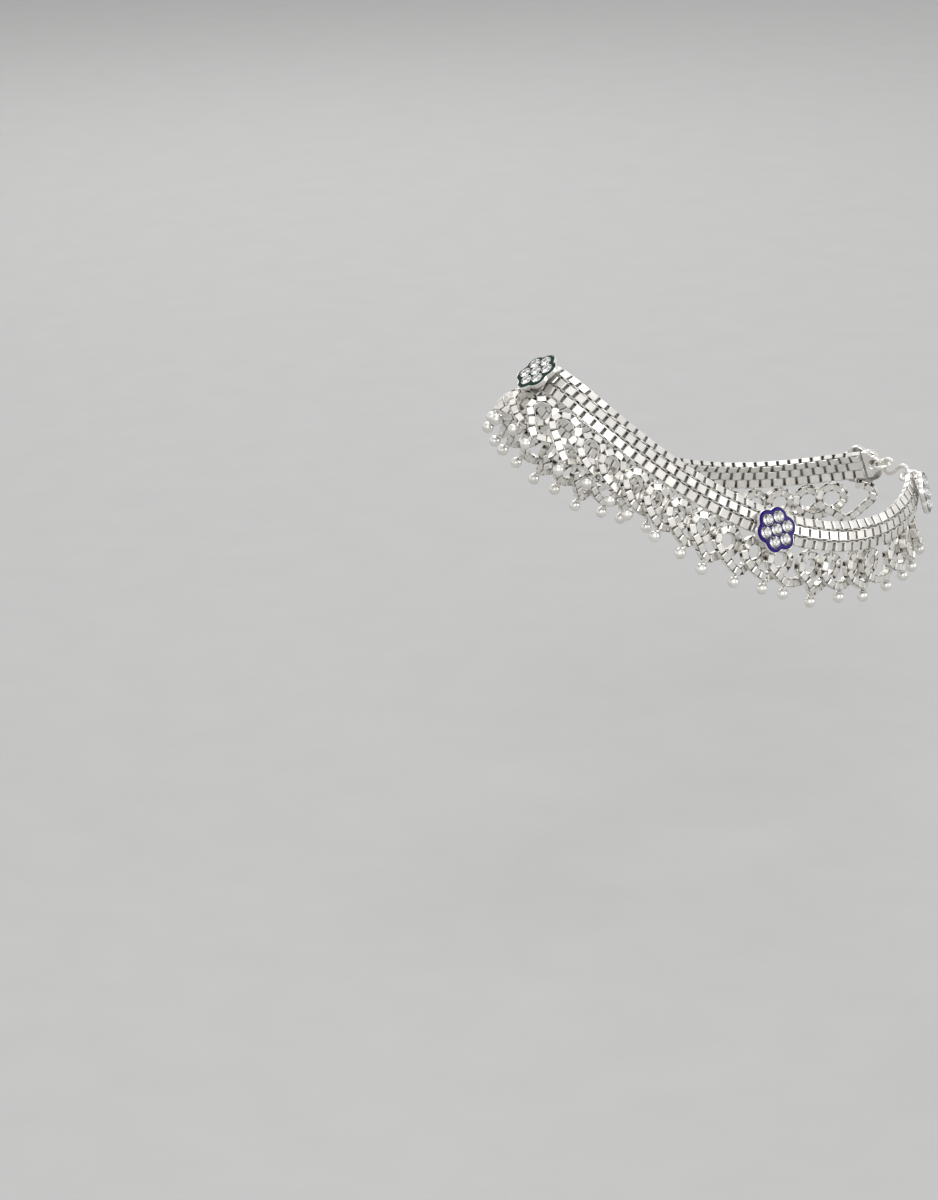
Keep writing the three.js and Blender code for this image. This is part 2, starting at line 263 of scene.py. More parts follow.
def pieceFrom(name, shape, finish, nodes=(), sharpAngle=smoothAngle):
    points = np.asarray(shape["points"], float) * millimetre
    mesh = meshFrom(name, points, shape["faces"], shape.get("paintedShade"), sharpAngle)
    turnOut(mesh)
    mesh.materials.append(finish)
    piece = bpy.data.objects.new(name, mesh)
    bpy.context.scene.collection.objects.link(piece)
    return settle(piece, nodes)


def settle(piece, nodes):
    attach(piece, "root")
    if nodes:
        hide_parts(*nodes)
    corners = sum(len(face.vertices) - 2 for face in piece.data.polygons)
    print("piece:", piece.name, corners, "triangles")
    return piece


# the tree that threads a link, ring or bead on each point of a row
def threadingTree():
    tree = bpy.data.node_groups.new("threading", "GeometryNodeTree")
    sockets = tree.interface
    sockets.new_socket("Points", in_out="INPUT", socket_type="NodeSocketGeometry")
    sockets.new_socket("Link", in_out="INPUT", socket_type="NodeSocketObject")
    size = sockets.new_socket("Link size", in_out="INPUT", socket_type="NodeSocketFloat")
    size.default_value = 1
    sockets.new_socket("Finish", in_out="INPUT", socket_type="NodeSocketMaterial")
    sockets.new_socket("Geometry", in_out="OUTPUT", socket_type="NodeSocketGeometry")
    nodes = tree.nodes
    join = tree.links.new
    given = nodes.new("NodeGroupInput")
    result = nodes.new("NodeGroupOutput")
    link = nodes.new("GeometryNodeObjectInfo")
    turn = nodes.new("FunctionNodeAxesToRotation")
    turn.primary_axis = "X"
    turn.secondary_axis = "Z"
    stand = nodes.new("GeometryNodeInstanceOnPoints")
    grow = nodes.new("ShaderNodeVectorMath")
    grow.operation = "SCALE"
    real = nodes.new("GeometryNodeRealizeInstances")
    paint = nodes.new("GeometryNodeSetMaterial")
    for name, target in (("alongWay", turn.inputs["Primary Axis"]),
                         ("faceWay", turn.inputs["Secondary Axis"]),
                         ("stretch", grow.inputs[0])):
        read = nodes.new("GeometryNodeInputNamedAttribute")
        read.data_type = "FLOAT_VECTOR"
        read.inputs["Name"].default_value = name
        join(read.outputs["Attribute"], target)
    join(given.outputs["Points"], stand.inputs["Points"])
    join(given.outputs["Link"], link.inputs["Object"])
    join(given.outputs["Link size"], grow.inputs["Scale"])
    join(link.outputs["Geometry"], stand.inputs["Instance"])
    join(turn.outputs["Rotation"], stand.inputs["Rotation"])
    join(grow.outputs["Vector"], stand.inputs["Scale"])
    join(stand.outputs["Instances"], real.inputs["Geometry"])
    join(real.outputs["Geometry"], paint.inputs["Geometry"])
    join(given.outputs["Finish"], paint.inputs["Material"])
    join(paint.outputs["Geometry"], result.inputs["Geometry"])
    return tree


threading = threadingTree()


def socketNamed(tree, name):
    return next(item.identifier for item in tree.interface.items_tree
                if item.name == name and item.in_out == "INPUT")


# one plain mesh of a link on every point, with its X along and its Z out of the face
def threadOn(name, points, along, face, shape, finish, stretch=None):
    linkPoints = np.asarray(shape["points"], float) * millimetre
    linkMesh = meshFrom(name + "_link", linkPoints, shape["faces"], shape.get("paintedShade"))
    turnOut(linkMesh)
    link = bpy.data.objects.new(name + "_link", linkMesh)
    row = bpy.data.meshes.new(name + "_row")
    row.from_pydata([tuple(point) for point in np.asarray(points) * millimetre], [], [])
    stretch = np.ones((len(points), 3)) if stretch is None else stretch
    for title, values in (("alongWay", along), ("faceWay", face), ("stretch", stretch)):
        store = row.attributes.new(title, "FLOAT_VECTOR", "POINT")
        store.data.foreach_set("vector", np.asarray(values, np.float32).ravel())
    holder = bpy.data.objects.new(name + "_row", row)
    for thing in (link, holder):
        bpy.context.scene.collection.objects.link(thing)
    modifier = holder.modifiers.new("threading", "NODES")
    modifier.node_group = threading
    modifier[socketNamed(threading, "Link")] = link
    modifier[socketNamed(threading, "Link size")] = 1.0
    modifier[socketNamed(threading, "Finish")] = finish
    bpy.context.view_layer.update()
    ready = holder.evaluated_get(bpy.context.evaluated_depsgraph_get())
    mesh = bpy.data.meshes.new_from_object(ready)
    holder.modifiers.remove(modifier)
    for title in ("alongWay", "faceWay", "stretch"):
        if title in mesh.attributes:
            mesh.attributes.remove(mesh.attributes[title])
    for thing in (link, holder):
        bpy.data.objects.remove(thing)
    mesh.name = name
    return mesh


def joinMeshes(name, meshes, finish):
    work = bmesh.new()
    for mesh in meshes:
        work.from_mesh(mesh)
    joined = bpy.data.meshes.new(name)
    work.to_mesh(joined)
    work.free()
    joined.materials.append(finish)
    piece = bpy.data.objects.new(name, joined)
    bpy.context.scene.collection.objects.link(piece)
    return piece


# finishes


def nodeMaterial(name):
    material = bpy.data.materials.new(name)
    material.use_nodes = True
    return material, material.node_tree, material.node_tree.nodes["Principled BSDF"]


def objectNoise(tree, scale, detail=3):
    place = tree.nodes.new("ShaderNodeTexCoord")
    noise = tree.nodes.new("ShaderNodeTexNoise")
    noise.inputs["Scale"].default_value = scale
    noise.inputs["Detail"].default_value = detail
    tree.links.new(place.outputs["Object"], noise.inputs["Vector"])
    return noise


def rampBetween(tree, source, low, high, lowColour, highColour):
    ramp = tree.nodes.new("ShaderNodeValToRGB")
    ramp.color_ramp.elements[0].position = low
    ramp.color_ramp.elements[1].position = high
    ramp.color_ramp.elements[0].color = lowColour
    ramp.color_ramp.elements[1].color = highColour
    tree.links.new(source, ramp.inputs["Fac"])
    return ramp


def rangeBetween(tree, source, low, high):
    spread = tree.nodes.new("ShaderNodeMapRange")
    spread.inputs["To Min"].default_value = low
    spread.inputs["To Max"].default_value = high
    tree.links.new(source, spread.inputs["Value"])
    return spread


def bumpFrom(tree, shader, noise, strength, depth):
    relief = tree.nodes.new("ShaderNodeBump")
    relief.inputs["Strength"].default_value = strength
    relief.inputs["Distance"].default_value = depth * millimetre
    tree.links.new(noise.outputs["Fac"], relief.inputs["Height"])
    tree.links.new(relief.outputs["Normal"], shader.inputs["Normal"])


silverLook = {
    "bright": (0.90, 0.885, 0.85, 1),
    "clouded": (0.76, 0.735, 0.685, 1),
    # the near-black colour of painted shade, mixed in where a mesh marks painted shade
    "paintedShadeColour": (0.06, 0.055, 0.05, 1),
    "cloudScale": 420,
    "cloudEdges": (0.35, 0.7),
    "grainScale": 5200,
    "grainDetail": 2,
    "roughness": (0.26, 0.42),
    "polish": (0.20, 0.34),
    "metal": 0.82,
    "bump": 0.12,
    "polishBump": 0.04,
    "bumpDepth": 0.03,
}


# bright silver that is clouded a little, and darkened by painted shade where the mesh marks it:
# inside the links, in seams and grooves, and on the foils' dark sides
def makeSilver(name, bump, roughness):
    material, tree, shader = nodeMaterial(name)
    look = silverLook
    cloud = objectNoise(tree, look["cloudScale"])
    grain = objectNoise(tree, look["grainScale"], look["grainDetail"])
    base = rampBetween(tree, cloud.outputs["Fac"], *look["cloudEdges"],
                       look["bright"], look["clouded"])
    # painted shade: how much of that near-black colour each point takes
    paintedShade = tree.nodes.new("ShaderNodeAttribute")
    paintedShade.attribute_name = "paintedShade"
    darken = tree.nodes.new("ShaderNodeMix")
    darken.data_type = "RGBA"
    darken.inputs["B"].default_value = look["paintedShadeColour"]
    tree.links.new(paintedShade.outputs["Fac"], darken.inputs["Factor"])
    tree.links.new(base.outputs["Color"], darken.inputs["A"])
    tree.links.new(darken.outputs["Result"], shader.inputs["Base Color"])
    rough = rangeBetween(tree, cloud.outputs["Fac"], *roughness)
    tree.links.new(rough.outputs["Result"], shader.inputs["Roughness"])
    bumpFrom(tree, shader, grain, bump, look["bumpDepth"])
    shader.inputs["Metallic"].default_value = look["metal"]
    return material


enamelLook = {
    "green": {"deep": (0.001, 0.018, 0.010, 1), "light": (0.003, 0.040, 0.022, 1)},
    "violet": {"deep": (0.007, 0.001, 0.090, 1), "light": (0.015, 0.003, 0.170, 1)},
    "cloudScale": 520,
    "cloudEdges": (0.3, 0.75),
    "roughness": 0.14,
    "specular": 0.12,
    "bump": 0.25,
    "bumpDepth": 0.05,
}


def makeEnamel(colour):
    material, tree, shader = nodeMaterial("enamel " + colour)
    cloud = objectNoise(tree, enamelLook["cloudScale"])
    tint = enamelLook[colour]
    base = rampBetween(tree, cloud.outputs["Fac"], *enamelLook["cloudEdges"],
                       tint["deep"], tint["light"])
    tree.links.new(base.outputs["Color"], shader.inputs["Base Color"])
    bumpFrom(tree, shader, cloud, enamelLook["bump"], enamelLook["bumpDepth"])
    shader.inputs["Roughness"].default_value = enamelLook["roughness"]
    shader.inputs["Specular IOR Level"].default_value = enamelLook["specular"]
    return material


stoneLook = {
    "tint": (0.98, 0.985, 0.99, 1),
    "hazeScale": 900,
    "roughness": (0.0, 0.03),
    "bending": 1.55,
}


def makeStone():
    material, tree, shader = nodeMaterial("clear stone")
    haze = objectNoise(tree, stoneLook["hazeScale"])
    rough = rangeBetween(tree, haze.outputs["Fac"], *stoneLook["roughness"])
    tree.links.new(rough.outputs["Result"], shader.inputs["Roughness"])
    shader.inputs["Base Color"].default_value = stoneLook["tint"]
    shader.inputs["Transmission Weight"].default_value = 1
    shader.inputs["IOR"].default_value = stoneLook["bending"]
    return material


silver = makeSilver("link silver", silverLook["bump"], silverLook["roughness"])
plainSilver = makeSilver("polished silver", silverLook["polishBump"], silverLook["polish"])
greenEnamel = makeEnamel("green")
violetEnamel = makeEnamel("violet")
clearStone = makeStone()
print("finishes made")


# the camera's place, and where the origin lies in its frame
view = {
    "distance": 900,
    "azimuth": -32.05,
    "elevation": 16.07,
    "roll": -1.13,
    "scale": 4.3616,  # pixels a millimetre at the origin
    "frameHeight": 1200,
    "originRight": 262.8,  # pixels from the frame's middle to the origin
    "originUp": 150.1,
    "aimScale": 4.38,  # pixels a millimetre where that offset is measured
    "sensor": 36,
    "clipStart": 0.05,  # metres
    "clipEnd": 20,
}


def makeCamera():
    azimuth = math.radians(view["azimuth"])
    elevation = math.radians(view["elevation"])
    back = Vector((math.sin(azimuth) * math.cos(elevation),
                   -math.cos(azimuth) * math.cos(elevation), math.sin(elevation)))
    right = Vector((math.cos(azimuth), math.sin(azimuth), 0))
    up = back.cross(right)
    spot = back * view["distance"]
    aim = -(right * view["originRight"] + up * view["originUp"]) / view["aimScale"]
    camera = bpy.data.objects.new("camera", bpy.data.cameras.new("camera"))
    camera.data.sensor_width = view["sensor"]
    camera.data.lens = view["scale"] * view["distance"] / view["frameHeight"] * view["sensor"]
    camera.data.clip_start = view["clipStart"]
    camera.data.clip_end = view["clipEnd"]
    camera.location = spot * millimetre
    roll = Matrix.Rotation(math.radians(view["roll"]), 3, "Z")
    camera.rotation_euler = ((aim - spot).to_track_quat("-Z", "Y").to_matrix() @ roll).to_euler()
    bpy.context.scene.collection.objects.link(camera)
    bpy.context.scene.camera = camera


makeCamera()

# floor and studio light
studio = {
    "floorDrop": 62,
    "floorSize": 12,  # metres
    "floorColour": (0.455, 0.455, 0.45, 1),
    "floorRoughness": 0.8,
    "mottle": 0.97,
    "mottleScale": 60,
    "mottleEdges": (0.3, 0.7),
    "overhead": (0.72, 0.72, 0.73, 1),
    "horizon": (1.0, 0.995, 0.98, 1),
    "skyEdges": (0.0, 0.75),
    "surroundStrength": 0.97,
}

# each soft light's spot and size in metres
softLights = [
    {"name": "key", "spot": (-0.50, -0.80, 0.70), "size": 0.7, "watts": 4.4},
    {"name": "top", "spot": (0.15, 0.1, 1.0), "size": 0.6, "watts": 2},
    {"name": "fill", "spot": (0.85, -0.7, 0.35), "size": 0.5, "watts": 2},
    {"name": "rim", "spot": (0.3, 0.9, 0.5), "size": 0.5, "watts": 2},
]


def makeFloor():
    low = solidBox[0]
    bpy.ops.mesh.primitive_plane_add(size=studio["floorSize"])
    floor = bpy.context.object
    floor.name = "floor"
    floor.location = (0, 0, low[2] - studio["floorDrop"] * millimetre)
    material, tree, shader = nodeMaterial("pale floor")
    grain = objectNoise(tree, studio["mottleScale"])
    pale = studio["floorColour"]
    darker = tuple(studio["mottle"] * part for part in pale[:3]) + (1,)
    tint = rampBetween(tree, grain.outputs["Fac"], *studio["mottleEdges"], darker, pale)
    tree.links.new(tint.outputs["Color"], shader.inputs["Base Color"])
    shader.inputs["Roughness"].default_value = studio["floorRoughness"]
    floor.data.materials.append(material)


# a surround that is brightest at the horizon
def makeSurround():
    world = bpy.data.worlds.new("studio")
    world.use_nodes = True
    tree = world.node_tree
    sky = tree.nodes["Background"]
    direction = tree.nodes.new("ShaderNodeTexCoord")
    parts = tree.nodes.new("ShaderNodeSeparateXYZ")
    tree.links.new(direction.outputs["Generated"], parts.inputs["Vector"])
    shade = rampBetween(tree, parts.outputs["Z"], *studio["skyEdges"],
                        studio["horizon"], studio["overhead"])
    tree.links.new(shade.outputs["Color"], sky.inputs["Color"])
    sky.inputs["Strength"].default_value = studio["surroundStrength"]
    bpy.context.scene.world = world
    bpy.context.scene.view_settings.view_transform = "Standard"


def makeLights():
    for soft in softLights:
        lamp = bpy.data.lights.new(soft["name"], "AREA")
        lamp.shape = "DISK"
        lamp.size = soft["size"]
        lamp.energy = soft["watts"]
        light = bpy.data.objects.new(soft["name"], lamp)
        light.location = soft["spot"]
        light.rotation_euler = (-Vector(soft["spot"])).to_track_quat("-Z", "Y").to_euler()
        bpy.context.scene.collection.objects.link(light)


makeFloor()
makeSurround()
makeLights()
print("camera, floor and lights set")


# a square ring of flat strip: its axis is Y where it shows a face, and Z where it shows its window
# innerDark and edgeDark are painted shade: each link's inner face is painted near black and its
# chamfered edges darker, for the shade deep in the chain
boxLink = {"corner": 0.20, "chamfer": 0.08, "innerDark": 0.95, "edgeDark": 0.285}


def linkShape(length, height, strip, thick, showsFace):
    corner = boxLink["corner"]
    halfLength = length / 2
    halfHeight = height / 2
    outline = []
    for side, top in ((1, -1), (1, 1), (-1, 1), (-1, -1)):
        near = (side * halfLength, top * (halfHeight - corner))
        far = (side * (halfLength - corner), top * halfHeight)
        outline.extend([far, near] if side * top < 0 else [near, far])
    edge = boxLink["chamfer"]
    section = [
        (-strip / 2, thick), (-strip / 2, edge), (-strip / 2 + edge, 0),
        (strip / 2 - edge, 0), (strip / 2, edge), (strip / 2, thick),
    ]
    # painted shade across the strip: darkest on its inner face, less at the chamfers, none on its
    # outer face
    dark = [boxLink["innerDark"], boxLink["edgeDark"], 0]
    dark += dark[::-1]
    rings = []
    paintedShade = []
    nearSide = 1.5 * corner
    for x, z in outline:
        inX = math.copysign(1, x) if abs(x) > halfLength - nearSide else 0
        inZ = math.copysign(1, z) if abs(z) > halfHeight - nearSide else 0
        ring = []
        for across, depth in section:
            here = (x - inX * depth, z - inZ * depth)
            ring.append((here[0], across, here[1]) if showsFace else (here[0], -here[1], across))
        rings.append(ring)
        paintedShade.extend(dark)
    points, faces = wall(rings, closed=True)
    return {"points": points, "faces": faces, "paintedShade": paintedShade}


# dark is painted shade: the small rings are painted a little darker, as shaded among the links
smallRing = {"steps": 14, "sides": 6, "dark": 0.1}


# a ring of round wire whose axis is X, every point of it darkened by the same share of painted shade
def wireRing(radius, wire, steps, sides, centre=(0, 0, 0), dark=smallRing["dark"]):
    rings = []
    for step in range(steps):
        turn = 2 * math.pi * step / steps
        ring = []
        for side in range(sides):
            lap = 2 * math.pi * side / sides
            reach = radius + wire / 2 * math.cos(lap)
            ring.append((centre[0] + wire / 2 * math.sin(lap),
                         centre[1] + reach * math.cos(turn),
                         centre[2] + reach * math.sin(turn)))
        rings.append(ring)
    points, faces = wall(rings, closed=True)
    return {"points": points, "faces": faces, "paintedShade": [dark] * len(points)}


# the mesh band
bandLinks = {
    "faceLength": 2.08,
    "faceStrip": 1.94,
    "windowLength": 2.02,
    "windowWidth": 2.28,
    "windowStrip": 1.36,
    "thick": 0.26,
    "railThick": 0.36,
    "play": 0.05,
    "seed": 7,
    "barLength": 0.84,
    "barDepth": 0.5,
    "barSink": 0.28,
    "barInset": 0.35,
    "barChamfer": 0.15,
    # painted shade of the tie bars, which show through the windows' gaps
    "barDark": 0.85,
    "endShare": 0.4,
}


# a bar across the rows, under each window, that ties them together; it is painted dark, as painted
# shade deep in the gaps between the links
def tieBar():
    half = bandLinks["barLength"] / 2
    wide = band["width"] / 2 - bandLinks["barInset"]
    deep = bandLinks["barDepth"] / 2
    top = half - bandLinks["barChamfer"]
    ring = [(-half, -deep), (half, -deep), (half, 0), (top, deep), (-top, deep), (-half, 0)]
    points, faces = wall([[(x, -wide, z) for x, z in ring], [(x, wide, z) for x, z in ring]])
    return {"points": points, "faces": faces, "paintedShade": [bandLinks["barDark"]] * len(points)}


def makeBand():
    period = (bandEnd - bandStart) / band["linkPairs"]
    rowWidth = band["width"] / band["rows"]
    faceLink = linkShape(bandLinks["faceLength"], band["thickness"],
                         bandLinks["faceStrip"], bandLinks["thick"], True)
    windowLink = linkShape(bandLinks["windowLength"], bandLinks["windowWidth"],
                           bandLinks["windowStrip"], bandLinks["railThick"], False)
    nearEnd = bandLinks["endShare"] * period
    chance = np.random.default_rng(bandLinks["seed"])
    meshes = []
    for kind, link, shift in (("face", faceLink, 0.5), ("window", windowLink, 0)):
        rows = []
        for row in range(band["rows"]):
            offset = (shift + 0.5 * (row % 2)) % 1
            count = band["linkPairs"] + (1 if offset == 0 else 0)
            places = bandStart + period * (np.arange(count) + offset)
            inner = np.clip(places, bandStart + nearEnd, bandEnd - nearEnd)
            drop = (row + 0.5) * rowWidth
            middle = onBand(inner, drop)
            step = onBand(inner + 0.5, drop) - onBand(inner - 0.5, drop)
            station = stationAt(inner)
            grown = np.linalg.norm(step, axis=1)
            stretch = np.stack([grown, np.ones(count), np.ones(count)], axis=1)
            keep = np.concatenate([[True], np.diff(inner) > nearEnd])
            rows.append((middle[keep], unit(step)[keep],
                         faceOf(station, bandLean(station, drop))[keep], stretch[keep]))
        points, along, face, stretch = (np.concatenate(part) for part in zip(*rows))
        rock, roll = (chance.normal(0, bandLinks["play"], (len(points), 1)) for _ in range(2))
        along = unit(along + rock * face)
        face = unit(face + roll * np.cross(face, along))
        meshes.append(threadOn("band_" + kind, points, along, face, link, silver, stretch))
    places = bandStart + period / 2 * (np.arange(2 * band["linkPairs"] - 1) + 1)
    station = stationAt(places)
    middle = onBand(places, band["width"] / 2, -bandLinks["barSink"])
    meshes.append(threadOn("tie_bars", middle, station["along"],
                           faceOf(station, bandLean(station, band["width"] / 2)), tieBar(), silver))
    return settle(joinMeshes("mesh_band_links", meshes, silver), ["mesh_band"])


makeBand()


# the fringe of chain curls: each eye, and the swag after it
def curlList():
    rows = [curlRows[curl % len(curlRows)] for curl in range(fringe["count"])]
    spacing = (bandEnd - bandStart - 2 * fringe["margin"]) / sum(row["gap"] for row in rows)
    place = bandEnd - fringe["margin"]
    eyes = [{"place": place}]
    swags = []
    for row in rows:
        gap = row["gap"] * spacing
        swags.append({"place": place + (row["lean"] - 0.5) * gap,
                      "drop": row["drop"] * fringe["swagDrop"], "gap": gap})
        place -= gap
        eyes.append({"place": place})
    for number, eye in enumerate(eyes):
        before = swags[max(number - 1, 0)]["gap"]
        after = swags[min(number, len(swags) - 1)]["gap"]
        eye["reach"] = fringe["eyeWidth"] * (before + after) / 4
    return eyes, swags


eyes, swags = curlList()
eyeTop = fringe["seatGap"] + fringe["chainWidth"] / 2


# the turns of one eye: up behind on the heel's side, over the top and down in front
def eyeTurns(eye):
    turns = [(-1, 0, fringe["crossingDrop"])]
    last = 180 - fringe["eyeStart"]
    for degrees in range(fringe["eyeStart"], last + 1, fringe["eyeStep"]):
        turn = math.radians(degrees)
        share = min(max((degrees - 90) / 90, -1), 1)
        turns.append((share, math.cos(turn), -math.sin(turn)))
    turns.append((1, 0, fringe["crossingDrop"]))
    # each turn becomes a place, a drop and a height over the fringe's middle
    return [(eye["place"] + reach * eye["reach"],
             eyeTop + fringe["eyeHeight"] / 2 * (1 + drop),
             share * fringe["strandDepth"]) for share, reach, drop in turns]


def fringeKnots():
    knots = []
    for number in range(len(eyes) - 1, -1, -1):
        turns = eyeTurns(eyes[number])
        top = (len(turns) - 1) // 2
        if number == len(eyes) - 1:
            turns = turns[top:]
        elif number == 0:
            turns = turns[:top + 1]
        knots.extend(turns)
        if number > 0:
            swag = swags[number - 1]
            knots.append((swag["place"], eyeTop + swag["drop"], 0))
    return np.array(knots)


# a smooth path through knots, with the pace of a centripetal spline
def smoothPath(knots, extra, steps):
    ends = np.concatenate([[2 * knots[0] - knots[1]], knots, [2 * knots[-1] - knots[-2]]])
    path = []
    carried = []
    for number in range(len(knots) - 1):
        a, b, c, d = ends[number:number + 4]
        first, middle, last = (math.sqrt(np.linalg.norm(q - p)) for p, q in ((a, b), (b, c), (c, d)))
        leave = ((b - a) / first - (c - a) / (first + middle) + (c - b) / middle) * middle
        arrive = ((c - b) / middle - (d - b) / (middle + last) + (d - c) / last) * middle
        for step in range(steps):
            t = step / steps
            path.append((2 * t ** 3 - 3 * t ** 2 + 1) * b + (t ** 3 - 2 * t ** 2 + t) * leave
                        + (3 * t ** 2 - 2 * t ** 3) * c + (t ** 3 - t ** 2) * arrive)
            carried.append(extra[number] * (1 - t) + extra[number + 1] * t)
    path.append(knots[-1])
    carried.append(extra[-1])
    return np.array(path), np.array(carried)


def evenly(path, carried, pitch):
    lengths = np.concatenate([[0], np.cumsum(np.linalg.norm(np.diff(path, axis=0), axis=1))])
    count = int(round(lengths[-1] / pitch))
    places = np.linspace(0, lengths[-1], count + 1)
    middle = (places[:-1] + places[1:]) / 2

    def at(values, where):
        return np.stack([np.interp(where, lengths, values[:, k]) for k in range(3)], axis=1)

    along = unit(at(path, middle + pitch / 2) - at(path, middle - pitch / 2))
    return at(path, middle), along, at(carried, middle)


curlLinks = {
    "pitch": 1.2,
    "length": 2.12,
    "strip": 1.48,
    "thick": 0.22,
    "twist": 0.12,
    "twistRate": 0.37,
    "pathSteps": 12,
}
eyeRing = {"radius": 0.78, "wire": 0.34, "drop": 0.42}


def makeFringe():
    knots = fringeKnots()
    station = stationAt(knots[:, 0])
    outward = faceOf(station, leanAt(fringe["flare"], station["turn"]))
    path, carried = smoothPath(onFringe(knots[:, 0], knots[:, 1], knots[:, 2]), outward,
                               curlLinks["pathSteps"])
    points, along, face = evenly(path, carried, curlLinks["pitch"])
    side = unit(np.cross(face, along))
    face = np.cross(along, side)
    number = np.arange(len(points))
    quarter = np.where(number % 2, math.pi / 2, 0)
    twist = curlLinks["twist"] * np.sin(number * curlLinks["twistRate"]) + quarter
    turned = face * column(np.cos(twist)) + side * column(np.sin(twist))
    link = linkShape(curlLinks["length"], fringe["chainWidth"],
                     curlLinks["strip"], curlLinks["thick"], True)
    chain = threadOn("curl_chain", points, along, turned, link, silver)
    places = np.array([eye["place"] for eye in eyes])
    station = stationAt(places)
    lean = leanAt(fringe["flare"], station["turn"])
    ring = wireRing(eyeRing["radius"], eyeRing["wire"], smallRing["steps"], smallRing["sides"])
    rings = threadOn("eye_rings", onFringe(places, eyeRing["drop"]), station["along"],
                     faceOf(station, lean), ring, silver)
    return settle(joinMeshes("fringe_links", [chain, rings], silver), ["fringe_chain"])


makeFringe()


# the drop beads

bead = {
    "diameter": 2.6,
    "capDiameter": 1.5,
    "capHeight": 0.4,
    "sides": 20,
    "bands": 12,
    "tip": 0.02,
    "ringRadius": 0.66,
    "ringWire": 0.4,
    # painted shade in the crease where the cap sits on the ball: seamDark on the ball's top ring,
    # capDark at the cap's foot
    "seamDark": 0.5,
    "capDark": 0.1,
}

# the cap's outline from its foot up, as shares of its height and its radius
capRows = [
    {"depth": 0.72, "reach": 1},
    {"depth": 0.3, "reach": 1},
    {"depth": 0, "reach": 0.8},
]


# turned on a lathe round Z, from a profile of radius and height
def lathe(profile, sides, paintedShade=None):
    rings = [[(reach * math.cos(2 * math.pi * side / sides),
               reach * math.sin(2 * math.pi * side / sides), height)
              for side in range(sides)] for reach, height in profile]
    points, faces = wall(rings)
    shades = [0] * len(profile) if paintedShade is None else paintedShade
    return {"points": points, "faces": faces,
            "paintedShade": [shade for shade in shades for _ in range(sides)]}


def makeBeads():
    radius = bead["diameter"] / 2
    seat = math.asin(bead["capDiameter"] / 2 / radius)
    centre = -bead["capHeight"] - radius * math.cos(seat)
    profile = [(bead["tip"], centre - radius)]
    for step in range(1, bead["bands"] + 1):
        turn = (math.pi - seat) * step / bead["bands"]
        profile.append((radius * math.sin(turn), centre - radius * math.cos(turn)))
    profile += [(row["reach"] * bead["capDiameter"] / 2, -row["depth"] * bead["capHeight"])
                for row in capRows]
    profile.append((bead["tip"], 0))
    # painted shade: only the ring where the ball meets its cap and the cap's foot are darkened
    shades = [0] * bead["bands"] + [bead["seamDark"], bead["capDark"], 0, 0, 0]
    ball = lathe(profile, bead["sides"], shades)
    ring = wireRing(bead["ringRadius"], bead["ringWire"], smallRing["steps"], smallRing["sides"],
                    (0, 0, bead["ringRadius"] - bead["ringWire"] / 2))
    places = np.array([swag["place"] for swag in swags])
    drops = eyeTop + np.array([swag["drop"] for swag in swags])
    hang = drops + fringe["chainWidth"] / 2 + fringe["seatGap"]
    station = stationAt(places)
    fall = fallOf(station, leanAt(fringe["flare"], station["turn"]))
    mesh = threadOn("drop_beads", onFringe(places, hang), station["along"], -fall,
                    joinShapes([ball, ring]), plainSilver)
    names = sorted(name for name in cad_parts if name.startswith("drop_bead"))
    return settle(joinMeshes("drop_beads_on_rings", [mesh], plainSilver), names)


makeBeads()


# the flowers

flower = {
    "petals": 6,
    "turn": 30,
    "stoneDiameter": 2.7,
    "stoneSeen": 2.76,
    "stoneGap": 0.3,
    "girdleHeight": 0.26,
    "margin": 1.08,
    "sink": 0.8,
    "valleySharpness": 9,
    "valleyReach": 0.1,
    "thickness": 1.15,
    "lift": 0.4,
    "post": 4.4,
    "postSides": 32,
    "joint": 0.02,  # how far post and cups run into the rest
    "outlineSteps": 120,
    "cupSides": 40,
    "rim": 0.13,
    "floor": 0.52,
}

# a stone's sizes, with the reaches of its facets as shares of its radius
stone = {
    "height": 0.62,
    "facets": 8,
    "play": 0.04,  # how far the girdle stays inside its cup
    "table": 0.56,
    "star": 0.76,
    "starRise": 0.62,
    "girdle": 0.06,
    "heart": 0.52,
    "heartDepth": 0.42,
}

# the bright cup under a stone, turned from its foot over its bezel to its bottom: the reach
# as a share of the radius, less an inset, and the depth under the stone's girdle
# painted reflection: shades are how dark the sides of the foil's foot and bottom are painted, taken
# in turns of shadeStep
foil = {"sides": 12, "shades": (0, 0.6, 0.05, 0.3), "shadeStep": 7}
foilRows = [
    {"reach": 0.5, "inset": 0, "depth": 0.62},
    {"reach": 1, "inset": 0, "depth": 0.42},
    {"reach": 1, "inset": 0, "depth": 0.12},
    {"reach": 1, "inset": 0.03, "depth": 0.08},
    {"reach": 1, "inset": 0.035, "depth": 0.1},
    {"reach": 1, "inset": 0.065, "depth": 0.16},
    {"reach": 0.53, "inset": 0, "depth": 0.46},
]

# the silver round a flower, from its foot over the rim to the floor under the enamel, with painted
# shade at the foot under the flower and in the groove inside the rim
cupRows = [
    {"inset": 0.18, "height": -flower["thickness"], "dark": 0.4},
    {"inset": 0, "height": 0.18 - flower["thickness"], "dark": 0.2},
    {"inset": 0, "height": -0.16, "dark": 0},
    {"inset": 0.05, "height": -0.02, "dark": 0},
    {"inset": flower["rim"] / 2, "height": 0.03, "dark": 0},
    {"inset": flower["rim"], "height": -0.02, "dark": 0},
    {"inset": flower["rim"] + 0.04, "height": -0.2, "dark": 0.6},
    {"inset": flower["rim"] + 0.1, "height": -flower["floor"], "dark": 0.6},
]

